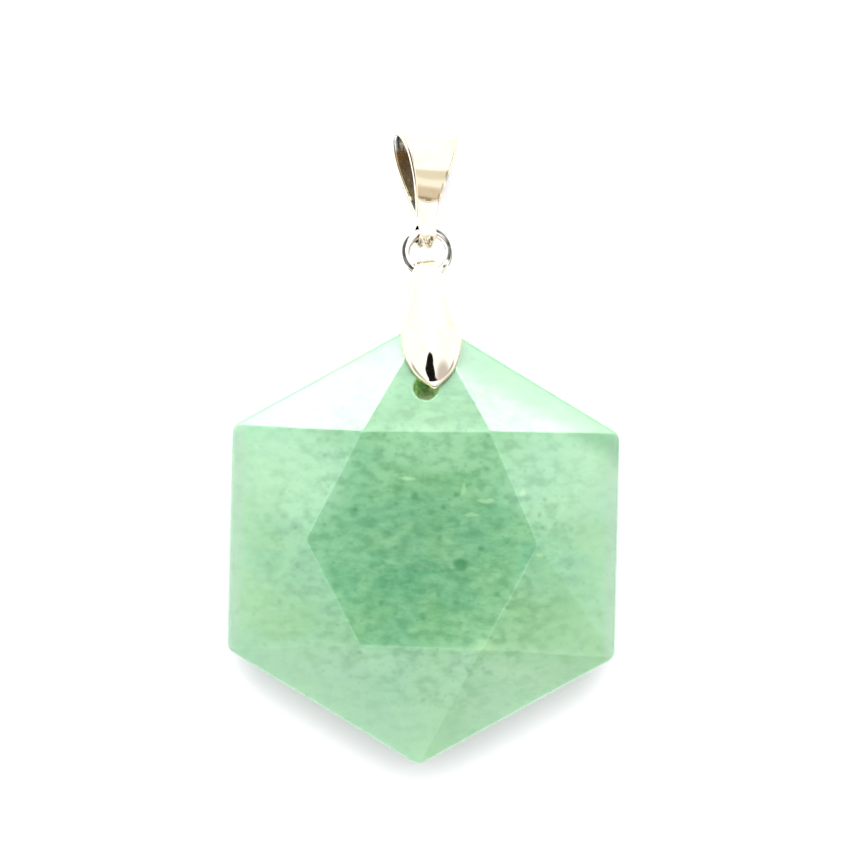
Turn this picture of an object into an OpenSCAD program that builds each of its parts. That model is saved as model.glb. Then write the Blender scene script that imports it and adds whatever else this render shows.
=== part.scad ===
// Star pendant: a hexagonal stone with a star cut on both faces, a pinch bail, a jump ring and a
// folded bail for the chain. It lies on its back table, with the bails towards +Y.

/* [Stone] */
// Width of the stone across its flat sides
stone_w = 30; // [24:0.5:36]
// Thickness of the stone from table to table
stone_t = 8; // [7:0.1:9]
// Height of the straight band round the stone
girdle_t = 2.6; // [2:0.1:3]
// Size of the tables, as a share of the size they have here
table_scale = 1; // [0.9:0.01:1.02]
// Radius of the six rounded corners
corner_r = 0.95; // [0.4:0.05:1.5]
// Diameter of the drilled hole
hole_d = 1.9; // [1.7:0.05:2.2]
// Distance from the sharp top corner down to the middle of the hole
hole_inset = 5.4; // [5:0.05:5.8]

/* [Pinch bail] */
// Length of each leaf from the middle of the fold to the tip
leaf_len = 9.1; // [8.8:0.05:9.5]
// Largest width of a leaf
leaf_w = 4.65; // [4:0.05:5]
// Width of the strip at the top of the fold
fold_w = 1.45; // [1.2:0.05:1.5]
// Inside radius of the fold
fold_r = 0.56; // [0.54:0.01:0.6]
// Thickness of the metal
leaf_t = 0.34; // [0.3:0.01:0.38]
// Height of the dome of a leaf
leaf_dome = 0.7; // [0.4:0.05:0.75]
// Sideways lean of the pinch bail in degrees
leaf_lean = 5.4; // [4.6:0.1:5.6]
// Diameter of the prong on each leaf
prong_d = 0.46; // [0.4:0.02:0.5]
// Length of the prong on each leaf
prong_len = 1.9; // [1:0.1:2.4]

/* [Jump ring] */
// Diameter of the ring, measured to the middle of its wire
ring_d = 3.34; // [3.3:0.02:3.4]
// Diameter of the wire
wire_d = 0.72; // [0.66:0.02:0.74]
// Slope of the ring down towards the chain bail in degrees
ring_slope = 9; // [7:0.5:10]
// Turn of the ring about its long way in degrees
ring_turn = 3; // [0:0.5:4]

/* [Chain bail] */
// Length of the loop from the middle of the eye to the top of the fold
loop_len = 8.25; // [7.9:0.05:8.6]
// Depth of the loop outside
loop_depth = 4.15; // [3.9:0.05:4.3]
// Width of the strip at the top of the fold
loop_w = 5; // [4.6:0.1:5.2]
// Width of the strip at the eye
eye_w = 1.3; // [1.2:0.02:1.5]
// Inside radius of the eye
eye_r = 0.66; // [0.64:0.01:0.7]
// Thickness of the strip
loop_t = 0.42; // [0.36:0.01:0.46]
// Slope of the loop down to the table top in degrees
loop_slope = 8.6; // [7.6:0.1:8.8]
// Turn of the loop about its length in degrees
loop_turn = 17; // [14:0.5:17]
// Sideways lean of the loop in degrees
loop_lean = 1.2; // [0:0.1:3]

/* [Hidden] */

// Stone: corner distance of the girdle, height of the middle plane and height of each crown
girdle_r = stone_w / 2 / cos(30);
mid_z = stone_t / 2;
crown_h = (stone_t - girdle_t) / 2;
corner_steps = 6;
cutter = 2 * stone_w;
// Distance from the middle to each corner of the table, anticlockwise from the right, on a 30 mm stone
TABLE_R = [8.9, 9.95, 9.75, 9.05, 9.35, 9.4];

// Hole: its place from the stone's middle and the stone's half thickness there
hole_x = -0.1;
hole_y = girdle_r - hole_inset;
top_table = (TABLE_R[1] + TABLE_R[2]) / 2 * cos(30) * table_scale * stone_w / 30;
half_at_hole = girdle_t / 2 + hole_inset * crown_h / (girdle_r - top_table);

// Pinch bail: middle of the fold, and the slope of a leaf that clears the facet below it
fold_x = -0.25;
tip_past = 0.1;
fold_y = hole_y + leaf_len - tip_past;
leaf_clear = 0.2;
seat_z = half_at_hole + leaf_clear;
leaf_slope = atan2(seat_z, leaf_len) - asin(fold_r / norm([seat_z, leaf_len]));
prong_side = -0.2;
prong_up = 0.52;

// Jump ring: its bottom wire hangs just below the middle of the fold
wire_drop = 0.22;
ring_x = -0.2;
ring_y = fold_y - wire_drop + ring_d / 2 * cos(ring_slope);
ring_z = mid_z - ring_d / 2 * sin(ring_slope);

// Chain bail: middle of its eye, on the top wire of the ring, and its solid neck above the eye
eye_x = -0.45;
eye_drop = 0.2;
eye_y = ring_y + ring_d / 2 * cos(ring_slope) - eye_drop;
eye_z = ring_z - ring_d / 2 * sin(ring_slope);
eye_out = eye_r + loop_t;
foot_in = 0.55;
loop_foot = eye_r + foot_in;
neck_t = 0.5;
neck_end = 2.7;
neck_taper = 0.06;
lobe_gap = 0.08;

// Middle of the whole length, so that the origin is under the middle of the box
end_low = -(girdle_r - corner_r / cos(30) + corner_r);
side_rise = abs(cos(loop_turn) * sin(loop_lean) - sin(loop_turn) * sin(loop_slope) * cos(loop_lean));
end_high = eye_y + loop_len * cos(loop_slope) * cos(loop_lean) + loop_w / 2 * side_rise;
middle_y = (end_low + end_high) / 2;

// Outline of the stone, with each corner an arc
function stone_outline() = [
    for (corner = [0:5], step = [0:corner_steps])
        let (
            way = 30 + 60 * corner,
            swing = way - 30 + 60 * step / corner_steps,
            arc_centre = girdle_r - corner_r / cos(30)
        )
        [arc_centre * cos(way) + corner_r * cos(swing), arc_centre * sin(way) + corner_r * sin(swing)]
];

// Corner of the table, counted anticlockwise from the right, and corner of the girdle after it
function table_corner(i) =
    let (reach = TABLE_R[i % 6] * table_scale * stone_w / 30)
    [reach * cos(60 * i), reach * sin(60 * i), mid_z];
function girdle_corner(i) = [girdle_r * cos(60 * i + 30), girdle_r * sin(60 * i + 30), girdle_t / 2];

// Block that cuts one facet: its lower face lies on the plane through three points, anticlockwise from outside
module facet_cut(a, b, c) {
    outward = cross(b - a, c - a);
    translate(a)
        rotate([0, acos(outward.z / norm(outward)), atan2(outward.y, outward.x)])
            translate([-cutter / 2, -cutter / 2, 0])
                cube([cutter, cutter, cutter]);
}

// The twelve sloping facets of one face: six star tips and six bevels between them
module star_cuts() {
    for (i = [0:5]) {
        facet_cut(table_corner(i), girdle_corner(i), table_corner(i + 1));
        facet_cut(table_corner(i), girdle_corner(i + 5), girdle_corner(i));
    }
}

module stone() {
    color("darkseagreen")
        translate([0, -middle_y, mid_z])
            difference() {
                translate([0, 0, -mid_z])
                    linear_extrude(height = stone_t)
                        polygon(stone_outline());
                star_cuts();
                mirror([0, 0, 1])
                    star_cuts();
                translate([hole_x, hole_y, -stone_t])
                    cylinder(d = hole_d, h = 2 * stone_t, $fn = 48);
            }
}

// Sections of a leaf: distance below the fold, half width and dome, each as a share of its full size
LEAF = [
    // along, half width, dome
    [1.000, 0.05, 0.00],
    [0.980, 0.16, 0.01],
    [0.940, 0.36, 0.13],
    [0.900, 0.53, 0.285],
    [0.860, 0.66, 0.44],
    [0.820, 0.76, 0.595],
    [0.770, 0.85, 0.785],
    [0.720, 0.92, 0.93],
    [0.650, 0.98, 0.99],
    [0.580, 1.00, 1.00],
    [0.490, 0.96, 0.95],
    [0.410, 0.89, 0.85],
    [0.330, 0.80, 0.70],
    [0.250, 0.71, 0.54],
    [0.150, 0.62, 0.37],
    [0.070, 0.58, 0.27],
    [0.030, 0.53, 0.21],
    [0.000, 0.46, 0.16]
];
FOLD_STEPS = 8;
ACROSS = 6;

// A section is [y, z, angle of its outward side from +Z towards +Y, half width, dome]
function leaf_section(row) =
    let (along = row[0] * leaf_len, middle = fold_r + leaf_t / 2)
    [
        -along, middle / cos(leaf_slope) + along * tan(leaf_slope),
        leaf_slope, row[1] * leaf_w / 2, row[2] * leaf_dome
    ];
function fold_section(share) =
    let (
        swing = leaf_slope + share * (90 - leaf_slope),
        middle = fold_r + leaf_t / 2,
        leaf_half = LEAF[len(LEAF) - 1][1] * leaf_w / 2,
        leaf_top_dome = LEAF[len(LEAF) - 1][2] * leaf_dome
    )
    [
        middle * sin(swing), middle * cos(swing), swing,
        leaf_half + sqrt(share) * (fold_w / 2 - leaf_half), leaf_top_dome * (1 - share)
    ];
function mirrored(section) = [section[0], -section[1], 180 - section[2], section[3], section[4]];

// Ring of points round one section: the outer side from left to right, then the inner side back
function section_point(section, share, side) =
    let (out = side * leaf_t / 2 + section[4] * (1 - share * share))
    [
        section[3] * share,
        section[0] + out * sin(section[2]),
        section[1] + out * cos(section[2])
    ];
function section_ring(section) = concat(
    [for (i = [0:ACROSS]) section_point(section, 2 * i / ACROSS - 1, 1)],
    [for (i = [0:ACROSS]) section_point(section, 1 - 2 * i / ACROSS, -1)]
);

module folded_strip() {
    front = concat(
        [for (row = LEAF) leaf_section(row)],
        [for (i = [1:FOLD_STEPS - 1]) fold_section(i / FOLD_STEPS)]
    );
    back = [for (i = [len(front) - 1:-1:0]) mirrored(front[i])];
    sections = concat(front, [fold_section(1)], back);
    count = 2 * (ACROSS + 1);
    last = len(sections) - 1;
    polyhedron(
        points = [for (section = sections) each section_ring(section)],
        faces = concat(
            [for (i = [0:ACROSS - 1]) [i, i + 1, count - 2 - i, count - 1 - i]],
            [
                for (k = [0:last - 1], i = [0:count - 1])
                    let (next = (i + 1) % count)
                    [k * count + next, k * count + i, (k + 1) * count + i, (k + 1) * count + next]
            ],
            [
                for (i = [0:ACROSS - 1])
                    let (k = last * count)
                    [k + i + 1, k + i, k + count - 1 - i, k + count - 2 - i]
            ]
        )
    );
}

// Prong of the front leaf: it starts inside the metal and points down the hole
module prong() {
    root_along = leaf_len - prong_up;
    root_z = (fold_r + leaf_t / 2) / cos(leaf_slope) + root_along * tan(leaf_slope);
    translate([prong_side, -root_along, root_z - prong_len])
        cylinder(d = prong_d, h = prong_len, $fn = 24);
}

module pinch_bail() {
    color("lightgoldenrodyellow")
        translate([fold_x, fold_y - middle_y, mid_z])
            rotate([0, 0, leaf_lean]) {
                folded_strip();
                prong();
                mirror([0, 0, 1])
                    prong();
            }
}

module jump_ring() {
    color("silver")
        translate([ring_x, ring_y - middle_y, ring_z])
            rotate([-ring_slope, ring_turn, 0])
                rotate_extrude($fn = 64)
                    translate([ring_d / 2, 0])
                        circle(d = wire_d, $fn = 32);
}

// Side outline of a loop that is pointed at its foot and round at its top, in the plane of length and depth.
// LOOP_PEAK is the largest value of the depth's formula, so that the outline is as deep as asked.
LOOP_PEAK = 0.77;
LOOP_STEP = 12;
function loop_outline(foot, top, depth) = [
    for (swing = [0:LOOP_STEP:360 - LOOP_STEP])
        [
            foot + (top - foot) * (1 - cos(swing)) / 2,
            depth / 2 / LOOP_PEAK * sin(swing) * sin(swing / 2)
        ]
];

// Half width of the strip at a distance from the eye
function strip_half(along) =
    let (share = max(0, (along - loop_foot) / (loop_len - loop_foot)))
    eye_w / 2 + (loop_w - eye_w) / 2 * pow(share, 1.1);

// Front outline of the strip: tapered, with two round lobes at the foot of the eye
module strip_front() {
    lobe_r = (eye_w - lobe_gap) / 4;
    steps = 10;
    heights = [for (i = [0:steps]) loop_foot + (loop_len + loop_t - loop_foot) * i / steps];
    lobe_y = -eye_out + lobe_r;
    linear_extrude(height = 2 * loop_depth, center = true) {
        polygon(concat(
            [[eye_w / 2, lobe_y], for (h = heights) [strip_half(h), h]],
            [for (i = [steps:-1:0]) [-strip_half(heights[i]), heights[i]], [-eye_w / 2, lobe_y]]
        ));
        for (side = [-1, 1])
            translate([side * (eye_w / 2 - lobe_r), lobe_y])
                circle(r = lobe_r, $fn = 24);
    }
}

// Solid as wide as the widest part of the strip, with the side outline of the loop
module loop_side(foot, top, depth) {
    rotate([90, 0, 90])
        linear_extrude(height = 2 * loop_w, center = true)
            polygon(loop_outline(foot, top, depth));
}

// Round bar across the strip, on the middle of the eye
module eye_side(radius) {
    rotate([0, 90, 0])
        cylinder(r = radius, h = 2 * loop_w, center = true, $fn = 48);
}

// Solid neck, from the middle of the eye until it runs into the loop
module neck_side() {
    neck_half = eye_out - neck_taper * neck_end;
    rotate([90, 0, 90])
        linear_extrude(height = 2 * loop_w, center = true)
            polygon([[0, -eye_out], [neck_end, -neck_half], [neck_end, neck_half], [0, eye_out]]);
}

// Side profile of the loop, the neck and the eye
module strip_side() {
    difference() {
        union() {
            loop_side(loop_foot, loop_len, loop_depth);
            neck_side();
            eye_side(eye_out);
        }
        loop_side(loop_foot + neck_t, loop_len - loop_t, loop_depth - 2 * loop_t);
        eye_side(eye_r);
    }
}

module chain_bail() {
    color("lightgoldenrodyellow")
        translate([eye_x, eye_y - middle_y, eye_z])
            rotate([-loop_slope, 0, loop_lean])
                rotate([0, loop_turn, 0])
                    intersection() {
                        strip_side();
                        strip_front();
                    }
}

stone();
pinch_bail();
jump_ring();
chain_bail();
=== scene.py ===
import math
from itertools import combinations

import bmesh
import bpy
from mathutils import Matrix, Vector


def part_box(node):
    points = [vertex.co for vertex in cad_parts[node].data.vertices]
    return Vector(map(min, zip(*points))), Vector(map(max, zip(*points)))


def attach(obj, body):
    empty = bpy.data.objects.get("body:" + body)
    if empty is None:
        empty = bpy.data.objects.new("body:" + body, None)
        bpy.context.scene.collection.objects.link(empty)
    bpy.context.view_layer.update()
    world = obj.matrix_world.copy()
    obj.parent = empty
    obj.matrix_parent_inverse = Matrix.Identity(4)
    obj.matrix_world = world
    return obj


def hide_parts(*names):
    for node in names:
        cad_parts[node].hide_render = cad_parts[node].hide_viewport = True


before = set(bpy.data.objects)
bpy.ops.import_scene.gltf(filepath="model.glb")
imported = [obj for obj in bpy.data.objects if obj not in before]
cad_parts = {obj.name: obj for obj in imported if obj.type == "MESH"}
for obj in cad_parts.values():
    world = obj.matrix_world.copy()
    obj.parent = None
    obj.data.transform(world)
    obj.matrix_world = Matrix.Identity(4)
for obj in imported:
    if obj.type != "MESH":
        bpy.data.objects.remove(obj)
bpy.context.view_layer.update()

# Pieces are worked out in millimetres from the middle of the stone, then placed in the frame
MM = 0.001
stone_low, stone_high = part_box("stone")
STONE_MIDDLE = (stone_low + stone_high) / 2
TO_FRAME = Matrix.Translation(STONE_MIDDLE) @ Matrix.Scale(MM, 4)

# Stone: half sizes, the straight band round it, its corners, roundings, tables and hole
HALF_W = (stone_high.x - stone_low.x) / 2 / MM
HALF_T = (stone_high.z - stone_low.z) / 2 / MM
GIRDLE_HALF = 1.3
GIRDLE_R = HALF_W / math.cos(math.radians(30))
CORNER_R = 0.95
FACET_R = 0.9
RIM_R = 0.35
PILLOW = 0.0025
CORNER_STEPS = 8
TABLE_R = (8.9, 9.95, 9.75, 9.05, 9.35, 9.4)
HOLE_R = 0.95
HOLE_X = -0.1
HOLE_INSET = 5.4
HOLE_Y = GIRDLE_R - HOLE_INSET
HOLE_STEPS = 64
HOLE_EDGE = 0.14
EDGE_ROUNDS = 3
WAIST_R = 0.06
WAIST_HALF = 1.3
WALL_UP = 0.6
# Degrees between the points of a rounded edge, and what counts as on a cut, one point and one face
BALL_STEP = 8
ON_CUT = 1e-5
ONE_POINT = 2e-4
ONE_FACE = 0.3

# Pinch bail: a strip of thin metal folded into two leaves, with a prong on each
LEAF_LEN = 9.1
LEAF_HALF = 4.65 / 2
LEAF_T = 0.34
LEAF_DOME = 0.7
LEAF_EDGE = 0.12
LEAF_RIM = 0.3
TIP_RIM = 1.2
RIM_FULL = 0.6
LEAF_SKEW = 0.12
TIP_SKEW = 0.22
LEAF_LEAN = 5.4
FOLD_HALF = 1.45 / 2
FOLD_R = 0.56
FOLD_X = -0.25
TIP_PAST = 0.1
FOLD_Y = HOLE_Y + LEAF_LEN - TIP_PAST
LEAF_CLEAR = 0.2
PRONG_R = 0.23
PRONG_LEN = 1.9
PRONG_SIDE = -0.2
PRONG_UP = 0.52
PRONG_STEPS = 24
PRONG_ROUNDS = 6
# Towards the tip of a leaf its dome gets a fuller shoulder and more skew, and its metal thins: FROM
# and OVER are shares of its length
SHOULDER = 0.4
SHOULDER_FROM = 0.76
SHOULDER_OVER = 0.08
SKEW_FROM = 0.7
SKEW_OVER = 0.25
TIP_THIN = 0.35
TIP_OVER = 0.02
LEAF_ACROSS = 40
ROWS_BETWEEN = 3
FOLD_ROWS = 20
# Rows of a leaf: distance below the fold, half width and dome, each as a share of its full size
LEAF = (
    (1.000, 0.05, 0.00),
    (0.980, 0.16, 0.00),
    (0.945, 0.34, 0.01),
    (0.905, 0.51, 0.16),
    (0.860, 0.66, 0.335),
    (0.820, 0.76, 0.49),
    (0.770, 0.85, 0.685),
    (0.720, 0.92, 0.83),
    (0.650, 0.98, 0.95),
    (0.580, 1.00, 0.99),
    (0.490, 0.96, 0.95),
    (0.410, 0.89, 0.85),
    (0.330, 0.80, 0.70),
    (0.250, 0.71, 0.54),
    (0.150, 0.62, 0.37),
    (0.070, 0.58, 0.27),
    (0.030, 0.53, 0.21),
    (0.000, 0.46, 0.16),
)

# Jump ring
RING_R = 3.34 / 2
WIRE_R = 0.36
RING_SLOPE = 9
RING_TURN = 3
RING_X = -0.2
WIRE_DROP = 0.22
RING_Y = FOLD_Y - WIRE_DROP + RING_R * math.cos(math.radians(RING_SLOPE))
RING_Z = -RING_R * math.sin(math.radians(RING_SLOPE))
RING_STEPS = 128
WIRE_STEPS = 24

# Chain bail: a folded strip with an eye at its foot
LOOP_LEN = 8.25
LOOP_DEPTH = 4.15
LOOP_HALF = 2.5
LOOP_T = 0.42
LOOP_SLOPE = 8.6
LOOP_TURN = 17
LOOP_LEAN = 1.2
LOOP_PEAK = 0.77
STRIP_FLARE = 1.1
CROWN = 0.14
EYE_HALF = 0.65
EYE_R = 0.66
EYE_OUT = EYE_R + LOOP_T
FOOT_IN = 0.55
LOOP_FOOT = EYE_R + FOOT_IN
NECK_T = 0.5
EYE_X = -0.45
EYE_DROP = 0.2
EYE_Y = RING_Y + RING_R * math.cos(math.radians(RING_SLOPE)) - EYE_DROP
EYE_Z = RING_Z - RING_R * math.sin(math.radians(RING_SLOPE))
LOBE_R = EYE_HALF / 2 - 0.02
LOBE_FROM = 0.2
LOBE_OVER = 0.4
STRIP_EDGE = 0.1
NECK_END = 3.2
NECK_TAPER = 0.06
NECK_BLEND = 0.16
NECK_SINK = 0.01
NECK_DIP = 0.12
NECK_STEPS = 50
LOOP_STEPS = 120
EYE_STEPS = 72
EYE_ACROSS = 24
ACROSS = 28
EDGE_STEPS = 5
HALVINGS = 30


def turn(degrees, axis):
    return Matrix.Rotation(math.radians(degrees), 4, axis)


def mesh_from(name, points, faces):
    """A mesh of points in millimetres and faces of their numbers."""
    mesh = bpy.data.meshes.new(name)
    mesh.from_pydata([tuple(p) for p in points], [], faces)
    mesh.validate()
    return mesh


def linked(name, mesh):
    piece = bpy.data.objects.new(name, mesh)
    bpy.context.scene.collection.objects.link(piece)
    return piece


def combined(base, other, operation):
    """The mesh of base and other after a boolean operation; both objects are removed."""
    modifier = base.modifiers.new("cut", "BOOLEAN")
    modifier.operation = operation
    modifier.solver = "EXACT"
    modifier.object = other
    bpy.context.view_layer.update()
    graph = bpy.context.evaluated_depsgraph_get()
    mesh = bpy.data.meshes.new_from_object(base.evaluated_get(graph))
    for used in (base, other):
        bpy.data.objects.remove(used)
    return mesh


def finished(name, mesh, place, materials, node):
    """Places a mesh in the frame as the piece that stands for a node."""
    mesh.transform(TO_FRAME @ place)
    mesh.name = name
    kinds = [face.material_index for face in mesh.polygons]
    mesh.materials.clear()
    for material in materials:
        mesh.materials.append(material)
    mesh.polygons.foreach_set("material_index", kinds)
    piece = linked(name, mesh)
    for face in mesh.polygons:
        face.use_smooth = True
    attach(piece, "root")
    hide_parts(node)
    return piece


def sweep_faces(rings, size, closed):
    """Quads between rings of the same size, and the two caps where the sweep isn't closed."""
    faces = []
    for k in range(rings if closed else rings - 1):
        here, there = k * size, (k + 1) % rings * size
        for i in range(size):
            after = (i + 1) % size
            faces.append((here + i, here + after, there + after, there + i))
    if not closed:
        faces.append(tuple(range(size - 1, -1, -1)))
        faces.append(tuple((rings - 1) * size + i for i in range(size)))
    return faces


# Stone
def table_corner(i):
    """A corner of the upper table."""
    way = math.radians(60 * i)
    reach = TABLE_R[i % 6]
    return Vector((reach * math.cos(way), reach * math.sin(way), HALF_T))


def girdle_corner(i):
    """A corner of the stone, at the upper edge of its straight band."""
    way = math.radians(60 * i + 30)
    return Vector((GIRDLE_R * math.cos(way), GIRDLE_R * math.sin(way), GIRDLE_HALF))


def crown_planes():
    """Outward normal and distance of the table and the twelve facets of the upper face."""
    planes = [(Vector((0, 0, 1)), HALF_T)]
    for i in range(6):
        for a, b, c in (
            (table_corner(i), girdle_corner(i), table_corner(i + 1)),
            (table_corner(i), girdle_corner(i + 5), girdle_corner(i)),
        ):
            normal = (b - a).cross(c - a).normalized()
            planes.append((normal, normal.dot(a)))
    return planes


def girdle_planes():
    """Outward normal and distance of the flats round the stone: its corners are rounded by narrow flats."""
    planes = []
    arc_middle = GIRDLE_R - CORNER_R / math.cos(math.radians(30))
    for corner in range(6):
        for step in range(CORNER_STEPS):
            off = math.radians(60 * step / CORNER_STEPS - 30)
            way = math.radians(60 * corner + 30) + off
            normal = Vector((math.cos(way), math.sin(way), 0))
            planes.append((normal, arc_middle * math.cos(off) + CORNER_R))
    return planes


def cut_by_planes(body, planes, shrink):
    """Cuts a convex body by the planes, each moved in by shrink."""
    for normal, distance in planes:
        everything = body.verts[:] + body.edges[:] + body.faces[:]
        cut = bmesh.ops.bisect_plane(
            body, geom=everything, dist=ON_CUT, plane_co=normal * (distance - shrink),
            plane_no=normal, clear_outer=True,
        )
        rim = [e for e in cut["geom_cut"] if isinstance(e, bmesh.types.BMEdge)]
        bmesh.ops.holes_fill(body, edges=rim)
    body.normal_update()
    return body


def ball_points(body, radius):
    """Points on balls at the corners of a convex body, between the directions of its faces there."""
    points = []
    for corner in body.verts:
        normals = [face.normal.copy() for face in corner.link_faces]
        ways = normals + [sum(normals, Vector()).normalized()]
        for a, b in combinations(normals, 2):
            steps = max(2, round(math.degrees(a.angle(b)) / BALL_STEP))
            ways += [a.slerp(b, step / steps) for step in range(1, steps)]
        points += [corner.co + radius * way for way in ways]
    body.free()
    return points


def hull_of(points):
    """The convex hull of points, with its flat faces joined up."""
    hull = bmesh.new()
    for point in points:
        hull.verts.new(point)
    bmesh.ops.remove_doubles(hull, verts=hull.verts, dist=ONE_POINT)
    made = bmesh.ops.convex_hull(hull, input=hull.verts)
    spare = {v for v in made["geom_interior"] + made["geom_unused"] if isinstance(v, bmesh.types.BMVert)}
    bmesh.ops.delete(hull, geom=list(spare), context="VERTS")
    flat = math.radians(ONE_FACE)
    bmesh.ops.dissolve_limit(hull, angle_limit=flat, verts=hull.verts, edges=hull.edges)
    hull.normal_update()
    return hull


def stone_body():
    """The stone before drilling: flat facets that meet in soft edges, within a crisper rim."""
    block = bmesh.new()
    bmesh.ops.create_cube(block, size=4 * HALF_W)
    crown = cut_by_planes(block, crown_planes(), FACET_R)
    soft = hull_of(ball_points(crown, FACET_R - RIM_R))
    upper = cut_by_planes(soft, girdle_planes() + [(Vector((0, 0, -1)), RIM_R)], RIM_R)
    points = [point for point in ball_points(upper, RIM_R) if point.z > RIM_R]
    hull = hull_of(points + [Vector((point.x, point.y, -point.z)) for point in points])
    mesh = bpy.data.meshes.new("stone_body")
    hull.to_mesh(mesh)
    hull.free()
    return mesh


def hole_cutter():
    """The hole, drilled from both faces: it narrows to a small opening where the points of the two meet."""
    half = [(0, WAIST_R), (WAIST_HALF, HOLE_R), (2 * HALF_T, HOLE_R)]
    levels = [(-level, radius) for level, radius in reversed(half[1:])] + half
    points = [
        (
            HOLE_X + radius * math.cos(math.tau * i / HOLE_STEPS),
            HOLE_Y + radius * math.sin(math.tau * i / HOLE_STEPS),
            level,
        )
        for level, radius in levels
        for i in range(HOLE_STEPS)
    ]
    faces = sweep_faces(len(levels), HOLE_STEPS, False)
    return linked("hole_cutter", mesh_from("hole_cutter", points, faces))


def on_hole_wall(face):
    """True on the wall of the hole, which is steeper than the facets round it."""
    middle = face.calc_center_median()
    reach = math.hypot(middle.x - HOLE_X, middle.y - HOLE_Y)
    return reach < 1.01 * HOLE_R and abs(face.normal.z) < WALL_UP


def stone(materials):
    drilled = combined(linked("stone_body", stone_body()), hole_cutter(), "DIFFERENCE")
    work = bmesh.new()
    work.from_mesh(drilled)
    work.normal_update()
    rim = [
        edge for edge in work.edges
        if len(edge.link_faces) == 2 and sum(on_hole_wall(face) for face in edge.link_faces) == 1
    ]
    bmesh.ops.bevel(
        work, geom=rim, offset=HOLE_EDGE, offset_type="OFFSET", segments=EDGE_ROUNDS, profile=0.5,
        affect="EDGES", clamp_overlap=True,
    )
    work.normal_update()
    for face in work.faces:
        face.material_index = 1 if on_hole_wall(face) else 0
    work.to_mesh(drilled)
    work.free()
    piece = finished("aventurine_stone", drilled, Matrix(), materials, "stone")
    piece.modifiers.new("flat_facets", "WEIGHTED_NORMAL").keep_sharp = True


# Pinch bail
def between_rows(rows, k, share):
    """Point on the smooth curve through the rows, at a share of the way from row k to the next."""
    a, b, c, d = (rows[min(max(i, 0), len(rows) - 1)] for i in (k - 1, k, k + 1, k + 2))
    return tuple(
        0.5 * (
            2 * q + (r - p) * share + (2 * p - 5 * q + 4 * r - s) * share ** 2
            + (3 * q - p - 3 * r + s) * share ** 3
        )
        for p, q, r, s in zip(a, b, c, d)
    )


def leaf_slope():
    """Slope of a leaf in radians, at which it clears the facet below it."""
    top_table = (TABLE_R[1] + TABLE_R[2]) / 2 * math.cos(math.radians(30))
    crown = HALF_T - GIRDLE_HALF
    seat = GIRDLE_HALF + (GIRDLE_R - HOLE_Y) * crown / (GIRDLE_R - top_table) + LEAF_CLEAR
    return math.atan2(seat, LEAF_LEN) - math.asin(FOLD_R / math.hypot(seat, LEAF_LEN))


def leaf_ring(half, thick, dome, shoulder, skew):
    """Outline of a leaf's section, anticlockwise: a dome within a flat rim, which is wider at the tip."""
    edge = min(LEAF_EDGE, 0.9 * half)
    flat = half - edge
    outline = [(flat - 2 * flat * i / LEAF_ACROSS, thick / 2) for i in range(LEAF_ACROSS + 1)]
    for i in range(1, EDGE_STEPS):
        way = math.radians(90 + 180 * i / EDGE_STEPS)
        outline.append((-flat + edge * math.cos(way), thick / 2 * math.sin(way)))
    outline += [(-x, -height) for x, height in outline]
    narrow = 1 - min(1, half / LEAF_HALF / RIM_FULL)
    domed = max(0.05, half - LEAF_RIM * (1 + TIP_RIM * narrow))
    return [(x, height + dome * dome_share(x / domed, shoulder, skew)) for x, height in outline]


def dome_share(share, shoulder, skew):
    """Height of a dome at a share of its half width: its ridge lies left of its middle."""
    if abs(share) >= 1:
        return 0
    return ((1 - shoulder) * (1 - share ** 2) + shoulder * (1 - share ** 6)) * (1 - skew * share)


def leaf_sections():
    """Sections of the front leaf from its tip to the fold, as (y, z, swing, *shape of its ring)."""
    slope = leaf_slope()
    middle = FOLD_R + LEAF_T / 2
    rows = [
        between_rows(LEAF, k, step / ROWS_BETWEEN)
        for k in range(len(LEAF) - 1)
        for step in range(ROWS_BETWEEN)
    ]
    sections = []
    for along, width, dome in rows:
        y = along * LEAF_LEN
        blunt = min(1, TIP_THIN + (1 - along) / TIP_OVER)
        shoulder = SHOULDER * min(1, max(0, (along - SHOULDER_FROM) / SHOULDER_OVER))
        near_tip = min(1, max(0, (along - SKEW_FROM) / SKEW_OVER))
        skew = LEAF_SKEW + (TIP_SKEW - LEAF_SKEW) * near_tip
        sections.append((
            -y, middle / math.cos(slope) + y * math.tan(slope), slope,
            width * LEAF_HALF, blunt * LEAF_T, dome * LEAF_DOME, shoulder, skew,
        ))
    for k in range(FOLD_ROWS + 1):
        share = k / FOLD_ROWS
        swing = slope + share * (math.pi / 2 - slope)
        leaf_half = LEAF[-1][1] * LEAF_HALF
        sections.append((
            middle * math.sin(swing), middle * math.cos(swing), swing,
            leaf_half + math.sqrt(share) * (FOLD_HALF - leaf_half), LEAF_T,
            LEAF[-1][2] * LEAF_DOME * (1 - share), 0, LEAF_SKEW,
        ))
    return sections


def folded_strip():
    """The strip of metal from the tip of the front leaf, over the fold, to the tip of the back leaf."""
    front = leaf_sections()
    back = [(y, -z, math.pi - swing, *rest) for y, z, swing, *rest in front[-2::-1]]
    points = []
    sections = front + back
    for y, z, swing, *shape in sections:
        for x, out in leaf_ring(*shape):
            points.append((x, y + out * math.sin(swing), z + out * math.cos(swing)))
    size = len(points) // len(sections)
    return mesh_from("folded_strip", points, sweep_faces(len(sections), size, False))


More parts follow.
